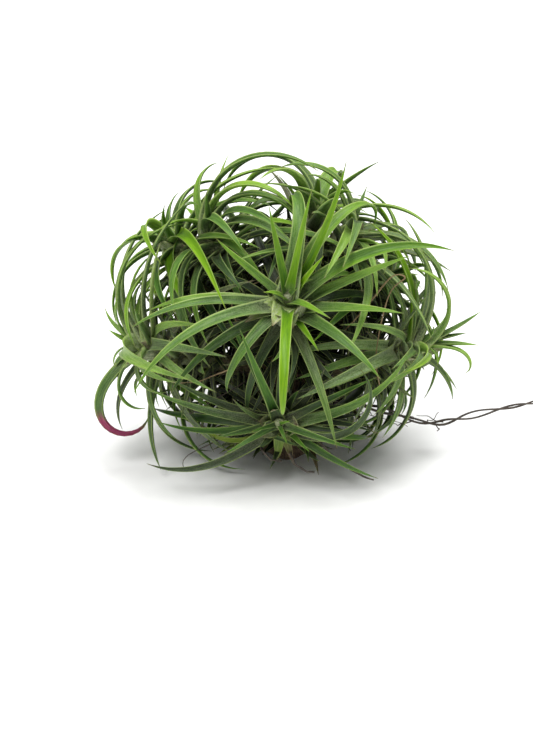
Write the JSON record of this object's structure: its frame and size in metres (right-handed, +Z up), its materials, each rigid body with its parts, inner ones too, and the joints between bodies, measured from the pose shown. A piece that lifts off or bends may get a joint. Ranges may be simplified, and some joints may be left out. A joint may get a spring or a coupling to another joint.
{
  "type": "air plant",
  "caption": "Round clump of tufted rosettes with narrow arching channelled leaves on one short woody stem with wiry roots, standing on its flat foot.",
  "frame": {"origin": "middle of the flat foot of the old woody stem, on which the clump stands", "axes": "+Z up along the old stem, -Y towards the front rosette, +X to the right, where the long root lies"},
  "size_m": [0.1654, 0.1275, 0.1206],
  "materials": {
    "green_leaf": "matte leathery leaf with a fine grey bloom",
    "woody_stem": "rough dry bark, roots and straw leaves"
  },
  "bodies": {
    "root": {"mother_stem": "woody_stem", "rosette_front": "green_leaf", "rosette_low_front": "green_leaf", "rosette_left": "green_leaf", "rosette_right": "green_leaf", "rosette_upper_left": "green_leaf", "rosette_far_left": "green_leaf", "rosette_top": "green_leaf", "rosette_upper_right": "green_leaf", "rosette_right_back": "green_leaf", "rosette_back_left": "green_leaf", "rosette_back": "green_leaf", "rosette_back_low": "green_leaf", "rosette_low_left": "green_leaf", "rosette_low_right": "green_leaf"}
  },
  "joints": []
}
